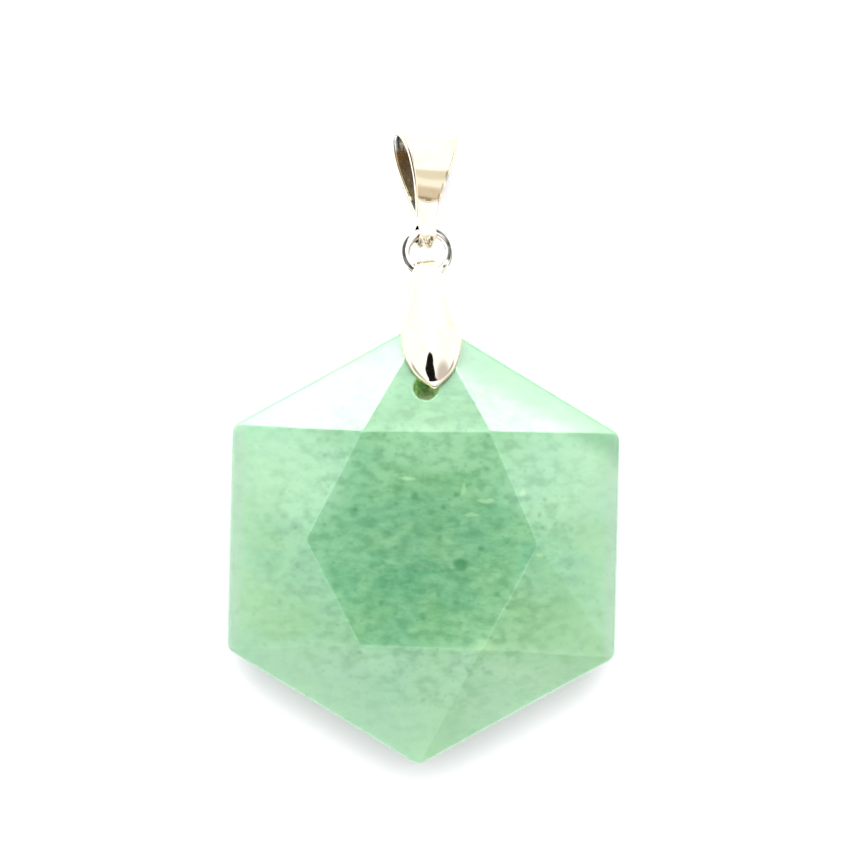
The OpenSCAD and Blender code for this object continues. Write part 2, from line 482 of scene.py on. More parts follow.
def prong(side):
    """Prong of one leaf, from inside the metal down the hole, with a round end."""
    slope = leaf_slope()
    root = LEAF_LEN - PRONG_UP
    top = (FOLD_R + LEAF_T / 2) / math.cos(slope) + root * math.tan(slope)
    levels = [(top, PRONG_R)]
    for i in range(PRONG_ROUNDS):
        way = math.radians(90 * i / PRONG_ROUNDS)
        levels.append((top - PRONG_LEN + PRONG_R * (1 - math.sin(way)), PRONG_R * math.cos(way)))
    points = []
    for height, radius in levels:
        for i in range(PRONG_STEPS):
            way = -side * math.tau * i / PRONG_STEPS
            points.append((
                PRONG_SIDE + radius * math.cos(way), -root + radius * math.sin(way), side * height
            ))
    return linked("prong", mesh_from("prong", points, sweep_faces(len(levels), PRONG_STEPS, False)))


def pinch_bail(materials):
    mesh = combined(linked("leaf", folded_strip()), prong(1), "UNION")
    mesh = combined(linked("leaf", mesh), prong(-1), "UNION")
    place = Matrix.Translation((FOLD_X, FOLD_Y, 0)) @ turn(LEAF_LEAN, "Z")
    finished("pinch_bail_leaf", mesh, place, materials, "pinch_bail")


# Jump ring
def jump_ring(materials):
    points = []
    for k in range(RING_STEPS):
        way = math.tau * k / RING_STEPS
        for i in range(WIRE_STEPS):
            swing = math.tau * i / WIRE_STEPS
            reach = RING_R + WIRE_R * math.cos(swing)
            points.append((reach * math.cos(way), reach * math.sin(way), WIRE_R * math.sin(swing)))
    faces = [face[::-1] for face in sweep_faces(RING_STEPS, WIRE_STEPS, True)]
    place = Matrix.Translation((RING_X, RING_Y, RING_Z)) @ turn(RING_TURN, "Y") @ turn(-RING_SLOPE, "X")
    mesh = mesh_from("jump_ring_wire", points, faces)
    finished("jump_ring_wire", mesh, place, materials, "jump_ring")


# Chain bail
def loop_point(swing, foot, top, depth):
    """Length and depth of a point on a loop, which is pointed at its foot and round at its top."""
    return Vector((
        foot + (top - foot) * (1 - math.cos(swing)) / 2,
        depth / 2 / LOOP_PEAK * math.sin(swing) * math.sin(swing / 2),
    ))


def strip_half(along):
    """Half width of the strip at a length from the eye."""
    share = max(0, (along - LOOP_FOOT) / (LOOP_LEN - LOOP_FOOT))
    return EYE_HALF + (LOOP_HALF - EYE_HALF) * share ** STRIP_FLARE


def strip_bow(x, half):
    """Drop of the strip's faces across its width, which crowns it slightly."""
    return CROWN * (x / half) ** 2 * min(1, half / LOOP_HALF)


def strip_box(edge, thick):
    """Section of a flat strip: share of the half width, distance in from the edge, depth from outside."""
    outline = [(1 - 2 * i / ACROSS, 0, 0) for i in range(ACROSS + 1)]
    corner = []
    for i in range(1, EDGE_STEPS + 1):
        way = math.radians(90 * i / EDGE_STEPS)
        corner.append((-1, edge * (1 - math.sin(way)), edge * (1 - math.cos(way))))
    outline += corner
    outline += [(share, inside, thick - depth) for share, inside, depth in reversed(corner)]
    inner = [(2 * i / ACROSS - 1, 0, thick) for i in range(ACROSS + 1)]
    outline += inner
    outline += [(-share, inside, thick - depth) for share, inside, depth in corner]
    outline += [(-share, inside, depth) for share, inside, depth in reversed(corner)]
    return outline


def loop_strip():
    """The folded strip, as sections all the way round the loop."""
    outline = strip_box(STRIP_EDGE, LOOP_T)
    points = []
    for k in range(LOOP_STEPS):
        swing = math.tau * k / LOOP_STEPS
        outer = loop_point(swing, LOOP_FOOT, LOOP_LEN, LOOP_DEPTH)
        inner = loop_point(swing, LOOP_FOOT + NECK_T, LOOP_LEN - LOOP_T, LOOP_DEPTH - 2 * LOOP_T)
        for share, inside, depth in outline:
            spot = outer.lerp(inner, depth / LOOP_T)
            half = strip_half(spot.x)
            x = share * (half - STRIP_EDGE)
            if abs(share) == 1:
                x += share * (STRIP_EDGE - inside)
            bow = (inner - outer).normalized() * strip_bow(x, half)
            points.append((x, spot.x + bow.x, spot.y + bow.y))
    faces = [face[::-1] for face in sweep_faces(LOOP_STEPS, len(outline), True)]
    return linked("loop_strip", mesh_from("loop_strip", points, faces))


def lobed_radius(x, low):
    """Outer radius of the eye across its width: round over its edges, with a groove at its foot."""
    edge = STRIP_EDGE
    inside = max(0, abs(x) - (EYE_HALF - edge))
    plain = EYE_OUT - edge + math.sqrt(max(0, edge ** 2 - inside ** 2))
    off = abs(x) - (EYE_HALF - LOBE_R)
    lobed = EYE_OUT - LOBE_R + math.sqrt(max(0, LOBE_R ** 2 - off ** 2))
    return plain + (lobed - plain) * low


def eye_ring():
    """The eye at the foot of the strip: a short tube, with two lobes where it is lowest."""
    widths = [-EYE_HALF * math.cos(math.pi * i / EYE_ACROSS) for i in range(EYE_ACROSS + 1)]
    points = []
    for k in range(EYE_STEPS):
        way = math.tau * k / EYE_STEPS
        low = min(1, max(0, (-math.sin(way) - LOBE_FROM) / LOBE_OVER))
        low = low * low * (3 - 2 * low)
        for x in widths:
            radius = lobed_radius(x, low)
            points.append((x, radius * math.sin(way), radius * math.cos(way)))
        for x in reversed(widths[1:-1]):
            edge = STRIP_EDGE / 2
            inside = max(0, abs(x) - (EYE_HALF - edge))
            radius = EYE_R + edge - math.sqrt(max(0, edge ** 2 - inside ** 2))
            points.append((x, radius * math.sin(way), radius * math.cos(way)))
    size = 2 * len(widths) - 2
    faces = [face[::-1] for face in sweep_faces(EYE_STEPS, size, True)]
    return linked("eye_ring", mesh_from("eye_ring", points, faces))


def front_depth(along):
    """Depth of the strip's outer face in front of the middle, at a length from the eye."""
    low, high = 0, math.pi
    for _ in range(HALVINGS):
        middle = (low + high) / 2
        if loop_point(middle, LOOP_FOOT, LOOP_LEN, LOOP_DEPTH).x < along:
            low = middle
        else:
            high = middle
    return loop_point(low, LOOP_FOOT, LOOP_LEN, LOOP_DEPTH).y


def neck(side):
    """One face of the solid neck, straight from the eye until it runs into the strip."""
    across = [1 - 2 * i / ACROSS for i in range(ACROSS + 1)]
    wall = (EYE_R + EYE_OUT) / 2
    points = []
    for k in range(NECK_STEPS + 1):
        along = NECK_END * k / NECK_STEPS
        tongue = EYE_OUT - NECK_TAPER * along
        strip = front_depth(along) if along > LOOP_FOOT else 0
        lower = max(math.sqrt(max(0, wall ** 2 - along ** 2)), strip - LOOP_T / 2) - 5 * NECK_SINK
        half = strip_half(along) - NECK_SINK
        dip = NECK_DIP * min(1, along / LOOP_FOOT)
        for share in across:
            flat = tongue - dip * (1 - share ** 2)
            crowned = strip - strip_bow(share * half, half)
            near = max(0, NECK_BLEND - abs(flat - crowned)) / NECK_BLEND
            upper = max(flat, crowned) + near * near * NECK_BLEND / 4 - NECK_SINK
            inside = max(0, abs(share) * half - (half - STRIP_EDGE))
            drop = STRIP_EDGE - math.sqrt(max(0, STRIP_EDGE ** 2 - inside ** 2))
            points.append((share * half, along, side * (upper - drop)))
        for share in (-1, 1):
            points.append((share * half, along, side * lower))
    faces = sweep_faces(NECK_STEPS + 1, len(across) + 2, False)
    if side > 0:
        faces = [face[::-1] for face in faces]
    return linked("neck", mesh_from("neck", points, faces))


def chain_bail(materials):
    mesh = combined(loop_strip(), eye_ring(), "UNION")
    for side in (1, -1):
        mesh = combined(linked("chain_bail", mesh), neck(side), "UNION")
    for face in mesh.polygons:
        face.material_index = 1 if on_inner_side(face.center) else 0
    place = (
        Matrix.Translation((EYE_X, EYE_Y, EYE_Z)) @ turn(LOOP_LEAN, "Z") @ turn(-LOOP_SLOPE, "X")
        @ turn(LOOP_TURN, "Y")
    )
    finished("chain_bail_strip", mesh, place, materials, "chain_bail")


INNER_LINE = [
    loop_point(math.tau * k / LOOP_STEPS, LOOP_FOOT + NECK_T, LOOP_LEN - LOOP_T, LOOP_DEPTH - 2 * LOOP_T)
    for k in range(LOOP_STEPS)
]


def on_inner_side(spot):
    """True on the inner side of the loop."""
    if spot.y < LOOP_FOOT + NECK_T:
        return False
    near = min((Vector((spot.y, spot.z)) - point).length for point in INNER_LINE)
    return near < LOOP_T / 2 and abs(spot.x) < strip_half(spot.y) - STRIP_EDGE / 2


# Materials
class Graph:
    """Adds shader nodes to a tree and links them."""

    def __init__(self, tree):
        self.tree = tree
        tree.nodes.clear()

    def put(self, socket, value):
        """Links a socket, or sets it; a colour may be given as three numbers."""
        if isinstance(value, bpy.types.NodeSocket):
            self.tree.links.new(value, socket)
        elif socket.type == "RGBA":
            socket.default_value = (*value, 1)
        else:
            socket.default_value = value

    def node(self, kind, settings=None, inputs=None):
        made = self.tree.nodes.new("ShaderNode" + kind)
        for name, value in (settings or {}).items():
            setattr(made, name, value)
        for name, value in (inputs or {}).items():
            if value is not None:
                self.put(made.inputs[name], value)
        return made

    def math(self, operation, a, b=None):
        return self.node("Math", {"operation": operation}, {0: a, 1: b}).outputs[0]

    def vector(self, operation, a, b, c=None):
        return self.node("VectorMath", {"operation": operation}, {0: a, 1: b, 2: c}).outputs[0]

    def mix(self, share, a, b):
        """The colour a, given over to b by a share: a Mix node's sockets 6 and 7 are its colours."""
        return self.node("Mix", {"data_type": "RGBA"}, {0: share, 6: a, 7: b}).outputs[2]

    def between(self, value, low, high, to_low=0.0, to_high=1.0, kind="SMOOTHSTEP"):
        """Maps a value from one range to another, without going past its ends."""
        inputs = {"Value": value, "From Min": low, "From Max": high, "To Min": to_low, "To Max": to_high}
        return self.node("MapRange", {"interpolation_type": kind}, inputs).outputs[0]

    def noise(self, vector, scale, detail=2.0, rough=0.5, distortion=0.0):
        inputs = {
            "Vector": vector, "Scale": scale, "Detail": detail, "Roughness": rough, "Distortion": distortion
        }
        return self.node("TexNoise", None, inputs).outputs["Fac"]

    def oval(self, parts, x, y, half_x, half_y, soft, strength):
        """Strength inside an oval of the x and y of parts, fading to nothing over its soft edge."""
        shares = [
            self.math("DIVIDE", self.math("SUBTRACT", parts[axis], middle), half)
            for axis, middle, half in ((0, x, half_x), (1, y, half_y))
        ]
        reach = self.math("ADD", *(self.math("MULTIPLY", share, share) for share in shares))
        return self.between(reach, 1 - soft, 1 + soft, strength, 0.0)

    def painted(self, colour, parts, ovals):
        """A colour with ovals of other colours laid over it in turn."""
        for x, y, half_x, half_y, soft, strength, tone in ovals:
            colour = self.mix(self.oval(parts, x, y, half_x, half_y, soft, strength), colour, tone)
        return colour

    def dots(self, vector, scale, share, low, high, strength):
        """Soft dots in some of the cells of a pattern, a little out of round."""
        cells = self.node("TexVoronoi", None, {
            "Vector": self.wobbled(vector, 1.5 * scale, 0.3 / scale), "Scale": scale
        })
        lot = self.parts(cells.outputs["Color"])[0]
        chosen = self.math("LESS_THAN", lot, share)
        dot = self.between(cells.outputs["Distance"], low, high, strength, 0.0)
        return self.math("MULTIPLY", chosen, dot)

    def wobbled(self, vector, scale, reach):
        """A vector moved about by noise, up to about half of reach each way."""
        noise = self.node("TexNoise", None, {"Vector": vector, "Scale": scale, "Detail": 1.0})
        moved = self.vector("MULTIPLY_ADD", noise.outputs["Color"], (reach,) * 3, vector)
        return self.vector("SUBTRACT", moved, (reach / 2,) * 3)

    def millimetres(self, middle=(0, 0, 0), stretch=(1, 1, 1), swing=(0, 0, 0)):
        """Object coordinates in millimetres from a middle point, stretched and turned."""
        place = self.node("TexCoord").outputs["Object"]
        shifted = self.vector("SUBTRACT", place, tuple(middle))
        scale = tuple(share / MM for share in stretch)
        inputs = {"Vector": shifted, "Scale": scale, "Rotation": swing}
        return self.node("Mapping", None, inputs).outputs[0]

    def parts(self, vector):
        """The x, y and z of a vector."""
        return self.node("SeparateXYZ", None, {0: vector}).outputs


# Colours of the stone
STONE_OUTSIDE = (0.27, 0.48, 0.31)
STONE_CORE = (0.072, 0.24, 0.112)
BLUE_CLOUD = (0.10, 0.33, 0.22)
YELLOW_CLOUD = (0.20, 0.38, 0.14)
HAZE = (0.28, 0.48, 0.30)
GRAIN = (0.24, 0.44, 0.26)
AROUND = (0.20, 0.46, 0.25)
SIDES = (0.30, 0.41, 0.33)
LIME = (0.22, 0.40, 0.16)
SEA = (0.12, 0.36, 0.26)
DEEP = (0.07, 0.24, 0.11)
PALE = (0.42, 0.60, 0.46)
BLOT = (0.045, 0.18, 0.08)
FLECK = (0.40, 0.60, 0.36)
WALL = (0.44, 0.66, 0.36)
WALL_DUST = (0.90, 0.90, 0.68)

# Colours of the metals
PLATING = (0.93, 0.88, 0.77)
WORN_PLATING = (0.90, 0.78, 0.54)
CREAM = (0.90, 0.80, 0.60)
# Painted shade, for creases and where parts meet
CREASE_SHADE = (0.20, 0.17, 0.12)
STEEL = (0.90, 0.88, 0.83)
WORN_STEEL = (0.90, 0.83, 0.70)
# Painted reflections on the ring: its grey flank and its dark lines
FLANK_REFLECTION = (0.46, 0.45, 0.42)
DARK_REFLECTION = (0.035, 0.032, 0.027)
# Painted shade and painted reflections inside the chain bail
BROWN = (0.50, 0.37, 0.22)
DARK_BROWN = (0.33, 0.23, 0.12)
GREY_GREEN = (0.20, 0.21, 0.17)
STREAK_LIGHT = (0.86, 0.90, 0.94)
STREAK_DARK = (0.16, 0.20, 0.22)

# Ovals of colour, in millimetres from the middle of the stone: middle, half sizes, softness,
# strength and colour. First the broad tones of the stone, then its dark spots and light flecks.
STONE_PATCHES = (
    (-11.0, -5.8, 3.2, 2.0, 0.9, 0.40, LIME),
    (9.0, -6.4, 3.0, 1.6, 0.9, 0.10, LIME),
    (9.6, -1.6, 2.4, 2.6, 0.9, 0.35, SEA),
    # Painted shade round the hole, under the bail
    (0.4, 12.4, 3.4, 2.6, 0.9, 0.16, DEEP),
    (0.5, 7.4, 4.6, 1.7, 0.9, 0.35, PALE),
    (-10.2, 5.2, 4.4, 3.6, 0.9, 0.40, PALE),
    (10.2, 5.2, 4.4, 3.6, 0.9, 0.40, PALE),
    (-1.0, 3.4, 7.0, 5.4, 0.9, 0.08, PALE),
    (-8.6, 1.0, 2.2, 4.5, 0.9, 0.15, PALE),
    (0.0, -13.5, 12.0, 5.4, 0.4, 0.22, PALE),
    (7.5, -11.5, 5.0, 3.4, 0.6, 0.22, PALE),
    (-7.5, -9.1, 5.5, 1.3, 0.9, 0.22, PALE),
    (8.8, -9.3, 5.5, 1.5, 0.9, 0.30, PALE),
)
STONE_SPOTS = (
    (2.9, -1.67, 0.60, 0.42, 0.9, 0.75, BLOT),
    (-0.8, 3.5, 0.30, 0.24, 0.9, 0.45, BLOT),
    (7.1, -3.8, 0.30, 0.34, 0.9, 0.35, BLOT),
    (-1.36, 4.84, 0.55, 0.13, 0.9, 0.45, FLECK),
    (2.99, 4.15, 0.18, 0.45, 0.9, 0.35, FLECK),
    (4.69, 3.29, 0.60, 0.16, 0.9, 0.40, FLECK),
    (3.70, 2.21, 0.50, 0.14, 0.9, 0.35, FLECK),
    (7.56, 3.99, 0.24, 0.30, 0.9, 0.50, FLECK),
    (8.95, -0.74, 0.26, 0.16, 0.9, 0.35, FLECK),
    (4.9, -7.9, 0.9, 0.5, 0.9, 0.35, FLECK),
)
# Painted reflections on the front leaf: a brown one and two faint grey ones
LEAF_PAINTED_REFLECTIONS = (
    (1.22, 12.9, 0.50, 1.1, 0.8, 0.85, (0.44, 0.36, 0.29)),
    (-1.72, 19.3, 0.12, 0.40, 0.8, 0.5, (0.60, 0.60, 0.57)),
    (-1.95, 16.6, 0.12, 0.45, 0.8, 0.3, (0.60, 0.60, 0.57)),
)
# Painted reflection and painted shade on the chain bail: a grey line of reflection near its right edge, and
# shade on the lobes of its eye with a dark spot
STRIP_SHADE_AND_REFLECTIONS = (
    (1.20, 28.25, 0.14, 0.55, 0.8, 0.80, (0.32, 0.34, 0.30)),
    (0.87, 27.30, 0.12, 0.50, 0.8, 0.70, (0.38, 0.40, 0.37)),
    (0.60, 26.55, 0.12, 0.45, 0.8, 0.60, (0.44, 0.40, 0.38)),
    (-0.80, 23.12, 0.26, 0.34, 0.9, 0.75, (0.28, 0.25, 0.18)),
    (-0.10, 23.08, 0.26, 0.34, 0.9, 0.70, (0.32, 0.28, 0.20)),
    (0.09, 23.50, 0.12, 0.18, 0.8, 0.90, (0.09, 0.07, 0.04)),
)
# A painted highlight inside the chain bail
INSIDE_PAINTED_HIGHLIGHT = (
    (-1.72, 26.6, 0.28, 0.16, 0.8, 0.9, (0.95, 0.88, 0.70)),
)
# Scattered dots in the stone: cells to the millimetre, share of them with a dot, inner and outer
# radius in cells, strength
STONE_DOTS = (
    (0.9, 0.35, 0.0, 0.30, 0.50),
    (1.7, 0.4, 0.0, 0.34, 0.28),
)
# Lines of painted dark reflection on the ring: side, clock angles of its ends from that side, distance from
# the middle of the ring at each end, half width
RING_REFLECTION_LINES = (
    (1, 76, -16, 1.92, 1.67, 0.17),
    (1, -30, -40, 1.64, 1.60, 0.15),
    (-1, 42, -58, 2.00, 1.60, 0.18),
)
# Height of the chain bail's fold, and where the painted shade inside it turns grey
FOLD_TOP = EYE_Y + LOOP_LEN * math.cos(math.radians(LOOP_SLOPE))
GREY_BELOW = 26.2


def new_material(name):
    material = bpy.data.materials.new(name)
    material.use_nodes = True
    return material, Graph(material.node_tree)


def stone_edge_reach(g, parts, azimuth):
    """Distance in from one of the sides of the stone."""
    way = math.radians(azimuth)
    reach = g.math(
        "ADD", g.math("MULTIPLY", parts[0], math.cos(way)), g.math("MULTIPLY", parts[1], math.sin(way))
    )
    return g.math("SUBTRACT", HALF_W, reach)


def stone_colour(g, place, parts, depth, reach):
    """Green with clouds, patches, haze, grain, mottling and spots: deeper in the middle and paler at the
    thin edges as painted light, with some painted shade and light besides.
    """
    # Painted light: the green is deeper where the stone is thick and paler where it is thin, standing in
    # for light shining through its thin parts
    core = g.math("MULTIPLY", depth, g.between(reach, 3.0, 11.0, 1.0, 0.6))
    layers = g.millimetres(STONE_MIDDLE, (0.6, 1.3, 1.0), (0, 0, math.radians(4)))
    mottled = g.millimetres(STONE_MIDDLE, (1.0, 1.35, 1.0), (0, 0, 0.1))
    cloud = g.noise(place, 0.16, 3, 0.55, 0.4)
    haze = g.noise(layers, 0.55, 3, 0.6, 0.5)
    grain = g.noise(layers, 2.2, 4, 0.62, 0.3)
    mottle = g.noise(mottled, 1.0, 2, 0.45)

    colour = g.mix(core, STONE_OUTSIDE, STONE_CORE)
    blue = g.mix(0.20, colour, BLUE_CLOUD)
    yellow = g.mix(0.30, colour, YELLOW_CLOUD)
    colour = g.mix(g.between(cloud, 0.38, 0.66), blue, yellow)
    colour = g.painted(colour, parts, STONE_PATCHES)
    colour = g.mix(g.between(haze, 0.40, 0.68, 0.0, 0.40), colour, HAZE)
    colour = g.mix(g.between(grain, 0.35, 0.70, 0.0, 0.34), colour, GRAIN)
    around = g.math("MULTIPLY", depth, g.between(reach, 2.0, 9.0, 0.0, 0.2))
    colour = g.mix(around, colour, AROUND)
    # Painted light: a greyer green strip along the left and right sides, standing in for the glow of the
    # thin edges
    side = g.math("ABSOLUTE", parts[0])
    colour = g.mix(g.between(side, 13.7, 14.5, 0.0, 0.6), colour, SIDES)
    # Painted shade: darker along the upper right side, dimming the glare there
    upper_right = stone_edge_reach(g, parts, 60)
    colour = g.mix(g.between(upper_right, 1.1, 2.8, 0.45, 0.0), colour, DEEP)

    inner = g.between(core, 0.0, 0.8, 0.3, 1.0)
    mottle = g.math("MULTIPLY", g.between(mottle, 0.38, 0.74, 0.0, 0.40), inner)
    colour = g.mix(mottle, colour, BLOT)
    for scale, share, low, high, strength in STONE_DOTS:
        dots = g.math("MULTIPLY", g.dots(place, scale, share, low, high, strength), inner)
        colour = g.mix(dots, colour, BLOT)
    return g.painted(colour, g.parts(g.wobbled(place, 1.0, 0.5)), STONE_SPOTS)


def stone_material(name, wall):
    """Polished translucent green stone, or the ground wall of its hole."""
    material, g = new_material(name)
    place = g.millimetres(STONE_MIDDLE)
    parts = g.parts(place)
    depth = g.between(g.math("ABSOLUTE", parts[2]), GIRDLE_HALF, HALF_T)
    reach = g.node("VectorMath", {"operation": "LENGTH"}, {0: place}).outputs["Value"]
    colour = stone_colour(g, place, parts, depth, reach)
    if wall:
        patchy = g.noise(place, 2.4, 3, 0.6)
        colour = g.mix(g.between(patchy, 0.35, 0.7), WALL, WALL_DUST)

    wave = g.noise(place, 0.35, 1, 0.4)
    fine = g.noise(place, 9.0, 2, 0.5)
    relief = g.math("ADD", g.math("MULTIPLY", wave, 0.006), g.math("MULTIPLY", fine, 0.0003))
    pillow = g.math("MULTIPLY", g.math("MULTIPLY", reach, reach), PILLOW)
    relief = g.math("SUBTRACT", relief, pillow)
    bump = g.node("Bump", None, {"Strength": 1.0, "Distance": MM, "Height": relief})
    rough = g.between(g.noise(place, 0.8, 3, 0.6), 0.3, 0.7, 0.06, 0.13)
    shader = g.node("BsdfPrincipled", None, {
        "Base Color": colour,
        "Roughness": 0.6 if wall else rough,
        "IOR": 1.54,
        "Subsurface Weight": 0.9,
        "Subsurface Radius": (0.7, 1.0, 0.75),
        "Subsurface Scale": (3.0 if wall else 2.2) * MM,
        "Coat Weight": 0.0 if wall else 1.0,
        "Coat Roughness": 0.04,
        "Coat IOR": 1.5,
        "Normal": bump.outputs[0],
    })
    g.node("OutputMaterial", None, {"Surface": shader.outputs[0]})
    return material


def metal_colour(g, place, tint, worn):
    """Colour of a metal: warmer where its edges are worn, and darker in its creases and where it meets
    other parts, as painted shade.
    """
    cloud = g.noise(place, 0.9, 3, 0.6)
    edge = g.node("NewGeometry").outputs["Pointiness"]
    wear = g.math("MAXIMUM", g.between(edge, 0.515, 0.56), g.between(cloud, 0.48, 0.8, 0, 0.7))
    colour = g.mix(wear, tint, worn)
    # Painted shade: darker where ambient occlusion finds the metal closed in, in creases and where parts
    # meet
    open_sky = g.node("AmbientOcclusion", {"samples": 8}, {"Distance": 0.35 * MM}).outputs["AO"]
    return g.mix(g.between(open_sky, 0.25, 0.7, 0.8, 0.0), colour, CREASE_SHADE), cloud


def metal_shader(material, g, colour, cloud, rough_low, rough_high):
    """Polished metal with fine polishing lines and a little cloudiness."""
    lines = g.noise(g.millimetres(STONE_MIDDLE, (14, 1.2, 6), (0, 0, 0.3)), 1.0, 3, 0.7)
    clouded = g.between(cloud, 0.3, 0.7, rough_low, rough_high)
    rough = g.math("ADD", clouded, g.between(lines, 0.55, 0.8, 0, 0.04))
    relief = g.math("ADD", g.math("MULTIPLY", cloud, 0.004), g.math("MULTIPLY", lines, 0.0006))
    bump = g.node("Bump", None, {"Strength": 0.5, "Distance": MM, "Height": relief})
    shader = g.node("BsdfPrincipled", None, {
        "Base Color": colour, "Metallic": 1.0, "Roughness": rough, "Normal": bump.outputs[0]
    })
    g.node("OutputMaterial", None, {"Surface": shader.outputs[0]})
    return material


def plating_material(name, painted_light, rimmed):
    """Champagne plating of a bail, with the rim of a leaf and painted shade in its crease where it has
    them, and ovals of painted reflection and shade laid over it.
    """
    material, g = new_material(name)
    place = g.millimetres(STONE_MIDDLE)
    colour, cloud = metal_colour(g, place, PLATING, WORN_PLATING)
    if rimmed:
        inside, along = leaf_rim(g)
        colour = g.mix(g.between(inside, 0.1, 0.4, 0.75, 0.0), colour, CREAM)
        # Painted shade: a dark line along the crease inside the leaf's rim, over its lower part
        off = g.math("ABSOLUTE", g.math("SUBTRACT", inside, LEAF_RIM))
        crease = g.math("MULTIPLY", g.between(off, 0.05, 0.18, 0.85, 0.0), g.between(along, 0.72, 0.82))
        colour = g.mix(crease, colour, CREASE_SHADE)
    colour = g.painted(colour, g.parts(place), painted_light)
    return metal_shader(material, g, colour, cloud, 0.035, 0.08)


def leaf_rim(g):
    """Distance in from the rim of a leaf, and the share of its length below the fold."""
    way = math.radians(-LEAF_LEAN)
    fold = Matrix.Rotation(way, 3, "Z") @ Vector((FOLD_X, FOLD_Y, 0))
    inputs = {"Vector": g.millimetres(STONE_MIDDLE), "Rotation": (0, 0, way)}
    turned = g.node("Mapping", None, inputs).outputs[0]
    parts = g.parts(g.vector("SUBTRACT", turned, tuple(fold)))
    along = g.math("DIVIDE", parts[1], -LEAF_LEN)
    curve = g.node("FloatCurve", None, {"Value": along})
    line = curve.mapping.curves[0]
    rows = LEAF[::-1]
    for number, (spot, width, _) in enumerate(rows):
        if number in (0, len(rows) - 1):
            line.points[min(number, 1)].location = (spot, width)
        else:
            line.points.new(spot, width)
    curve.mapping.update()
    half = g.math("MULTIPLY", curve.outputs[0], LEAF_HALF)
    return g.math("SUBTRACT", half, g.math("ABSOLUTE", parts[0])), along


def ring_material():
    """Steel wire with painted dark reflections on it: lines along it, and a grey flank."""
    material, g = new_material("ring_plating")
    place = g.millimetres(STONE_MIDDLE)
    colour, cloud = metal_colour(g, place, STEEL, WORN_STEEL)
    x, y, _ = g.parts(g.millimetres(STONE_MIDDLE + MM * Vector((RING_X, RING_Y, 0))))
    reach = g.math("SQRT", g.math("ADD", g.math("MULTIPLY", x, x), g.math("MULTIPLY", y, y)))
    patchy = g.between(g.noise(place, 1.3, 2, 0.5), 0.4, 0.56, 0.85, 1.0)
    # Painted dark reflections: lines along the wire, broken up by noise
    for side, high, low, reach_high, reach_low, half in RING_REFLECTION_LINES:
        clock = g.math("ARCTAN2", y, g.math("MULTIPLY", x, side))
        ends = (math.radians(low), math.radians(high), reach_low, reach_high)
        off = g.math("ABSOLUTE", g.math("SUBTRACT", reach, g.between(clock, *ends, "LINEAR")))
        line = g.between(off, 0.5 * half, half, 0.95, 0.0)
        for share in (
            g.between(clock, math.radians(low - 8), math.radians(low + 4)),
            g.between(clock, math.radians(high - 6), math.radians(high + 6), 1.0, 0.0),
            patchy,
        ):
            line = g.math("MULTIPLY", line, share)
        colour = g.mix(line, colour, DARK_REFLECTION)
    # Painted reflection: a grey flank on the side of the wire that faces +X
    across = g.parts(g.node("TexCoord").outputs["Normal"])[0]
    colour = g.mix(g.between(across, 0.72, 0.9, 0.0, 0.8), colour, FLANK_REFLECTION)
    return metal_shader(material, g, colour, cloud, 0.05, 0.10)


def inside_material():
    """Painted shade inside the chain bail in brown, with painted bright and dark streaks of reflection
    under its fold and grey painted shade near its foot.
    """
    material, g = new_material("shaded_inside")
    place = g.millimetres(STONE_MIDDLE)
    parts = g.parts(place)
    cloud = g.noise(place, 1.6, 3, 0.6)
    colour = g.mix(g.between(cloud, 0.3, 0.7), BROWN, DARK_BROWN)
    # Painted reflections: bright and dark streaks under the fold
    streak = g.noise(g.millimetres(STONE_MIDDLE, (3.0, 0.6, 1.0), (0, 0, 0.6)), 1.0, 1, 0.4)
    streaked = g.mix(g.between(streak, 0.45, 0.55), STREAK_LIGHT, STREAK_DARK)
    colour = g.mix(g.between(parts[1], FOLD_TOP - 1.9, FOLD_TOP - 1.4), colour, streaked)
    # Painted shade: grey near the foot
    colour = g.mix(g.between(parts[1], GREY_BELOW, GREY_BELOW + 0.5, 1.0, 0.0), colour, GREY_GREEN)
    colour = g.painted(colour, parts, INSIDE_PAINTED_HIGHLIGHT)
    return metal_shader(material, g, colour, cloud, 0.2, 0.35)


# Floor, light and camera
VIEW_MIDDLE = Vector((-0.00009, 0.00162, 0.004))
VIEW_WIDTH = 0.0659
CAMERA_UP = 0.8
CAMERA_ROLL = 1.3
SENSOR = 36
TENT = (1.25, 1.25, 1.25)
FLOOR_HALF = 3
FLOOR_GAP = 0.00003

# Patches of the surroundings, as ovals on the sky seen from above: middle, half sizes, softness,
# strength and colour
PATCHES = (
    (-1.0, -0.45, 0.10, 0.42, 0.3, 1.0, (0.05, 0.05, 0.06)),
    (1.0, 0.0, 0.11, 0.50, 0.3, 1.0, (0.22, 0.21, 0.20)),
    (-0.75, -0.75, 0.16, 0.22, 0.4, 1.0, (0.20, 0.16, 0.12)),
    (0.75, -0.70, 0.20, 0.20, 0.4, 1.0, (0.42, 0.33, 0.26)),
    (0.0, 0.48, 0.34, 0.18, 0.4, 1.0, (2.5, 2.5, 2.5)),
    (0.52, -0.44, 0.32, 0.26, 0.5, 1.0, (1.10, 1.06, 0.92)),
    (0.55, -0.29, 0.32, 0.10, 0.8, 1.0, (0.88, 0.80, 0.64)),
    (0.49, -0.62, 0.32, 0.11, 0.6, 1.0, (0.76, 0.64, 0.49)),
    (0.47, -0.68, 0.32, 0.04, 0.7, 1.0, (0.36, 0.29, 0.19)),
    (-0.06, 0.05, 0.16, 0.20, 0.1, 1.0, (0.008, 0.007, 0.007)),
)


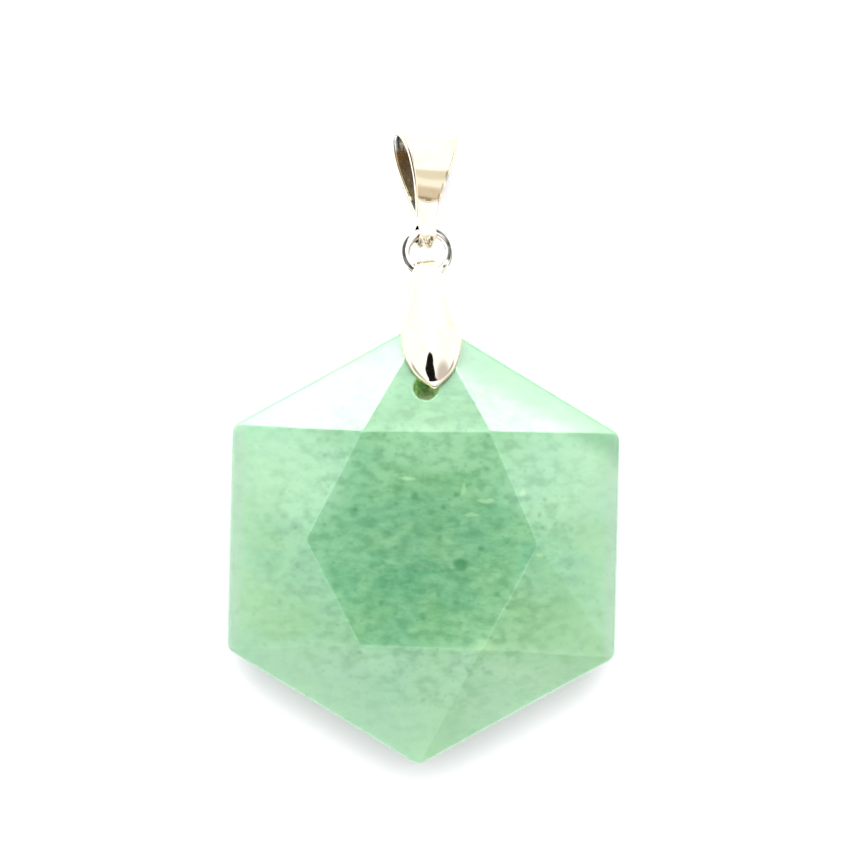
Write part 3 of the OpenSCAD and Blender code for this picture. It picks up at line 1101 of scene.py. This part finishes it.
def floor():
    corners = [(x * FLOOR_HALF, y * FLOOR_HALF, 0) for x, y in ((-1, -1), (1, -1), (1, 1), (-1, 1))]
    mesh = mesh_from("floor", corners, [(0, 1, 2, 3)])
    piece = linked("floor", mesh)
    piece.location.z = -FLOOR_GAP
    material, g = new_material("white_table")
    shade = g.between(g.noise(g.millimetres(), 0.02, 2), 0.3, 0.7, 0.84, 0.86)
    bluish = g.math("ADD", shade, 0.035)
    colour = g.node("CombineColor", None, {0: shade, 1: shade, 2: bluish}).outputs[0]
    shader = g.node("BsdfPrincipled", None, {"Base Color": colour, "Roughness": 0.8})
    g.node("OutputMaterial", None, {"Surface": shader.outputs[0]})
    mesh.materials.append(material)


def way_to(azimuth, off_vertical):
    """Unit direction: azimuth anticlockwise from +X, and the angle off the vertical, in degrees."""
    around, off = math.radians(azimuth), math.radians(off_vertical)
    return Vector((math.cos(around) * math.sin(off), math.sin(around) * math.sin(off), math.cos(off)))


def area_lamp(name, width, height, radiance):
    """A rectangular light that the camera doesn't see."""
    light = bpy.data.lights.new(name, "AREA")
    light.shape = "RECTANGLE"
    light.size = width
    light.size_y = height
    light.energy = radiance * math.pi * width * height
    lamp = linked(name, light)
    lamp.visible_camera = False
    return lamp


def softbox(name, azimuth, off_vertical, distance, width, height, radiance):
    """A light that faces the stone from a distance."""
    lamp = area_lamp(name, width, height, radiance)
    way = way_to(azimuth, off_vertical)
    lamp.location = STONE_MIDDLE + way * distance
    lamp.rotation_euler = way.to_track_quat("Z", "Y").to_euler()


def panel(name, height, near, far, width, radiance):
    """A level light above, from near to far in +Y from the stone, that no reflection shows."""
    lamp = area_lamp(name, width, far - near, radiance)
    lamp.location = STONE_MIDDLE + Vector((0, (near + far) / 2, height))
    lamp.visible_glossy = False


def surroundings():
    """A white tent, with what is dark or tan in it as ovals on the sky seen from above."""
    world = bpy.data.worlds.new("tent")
    bpy.context.scene.world = world
    world.use_nodes = True
    g = Graph(world.node_tree)
    way = g.parts(g.node("TexCoord").outputs["Generated"])
    lit = g.painted(TENT, way, PATCHES)
    direct = g.node("LightPath").outputs["Is Camera Ray"]
    shader = g.node("Background", None, {"Color": g.mix(direct, lit, (1, 1, 1))})
    g.node("OutputWorld", None, {"Surface": shader.outputs[0]})


def camera():
    data = bpy.data.cameras.new("camera")
    data.sensor_width = SENSOR
    data.lens = SENSOR * (CAMERA_UP - VIEW_MIDDLE.z) / VIEW_WIDTH
    data.clip_start = 0.01
    data.clip_end = 10
    eye = linked("camera", data)
    eye.location = (VIEW_MIDDLE.x, VIEW_MIDDLE.y, CAMERA_UP)
    eye.rotation_euler = (0, 0, math.radians(CAMERA_ROLL))
    bpy.context.scene.camera = eye


camera()
floor()
surroundings()
softbox("key", azimuth=90, off_vertical=52.4, distance=1.0, width=1.2, height=0.235, radiance=6.5)
panel("overhead", height=0.9, near=0.055, far=0.8, width=1.3, radiance=2.3)
bpy.context.scene.view_settings.view_transform = "Standard"

polished = stone_material("aventurine", wall=False)
ground = stone_material("aventurine_ground", wall=True)
leaf_plating = plating_material("leaf_plating", LEAF_PAINTED_REFLECTIONS, rimmed=True)
strip_plating = plating_material("strip_plating", STRIP_SHADE_AND_REFLECTIONS, rimmed=False)
steel = ring_material()
inside = inside_material()

stone([polished, ground])
pinch_bail([leaf_plating])
jump_ring([steel])
chain_bail([strip_plating, inside])
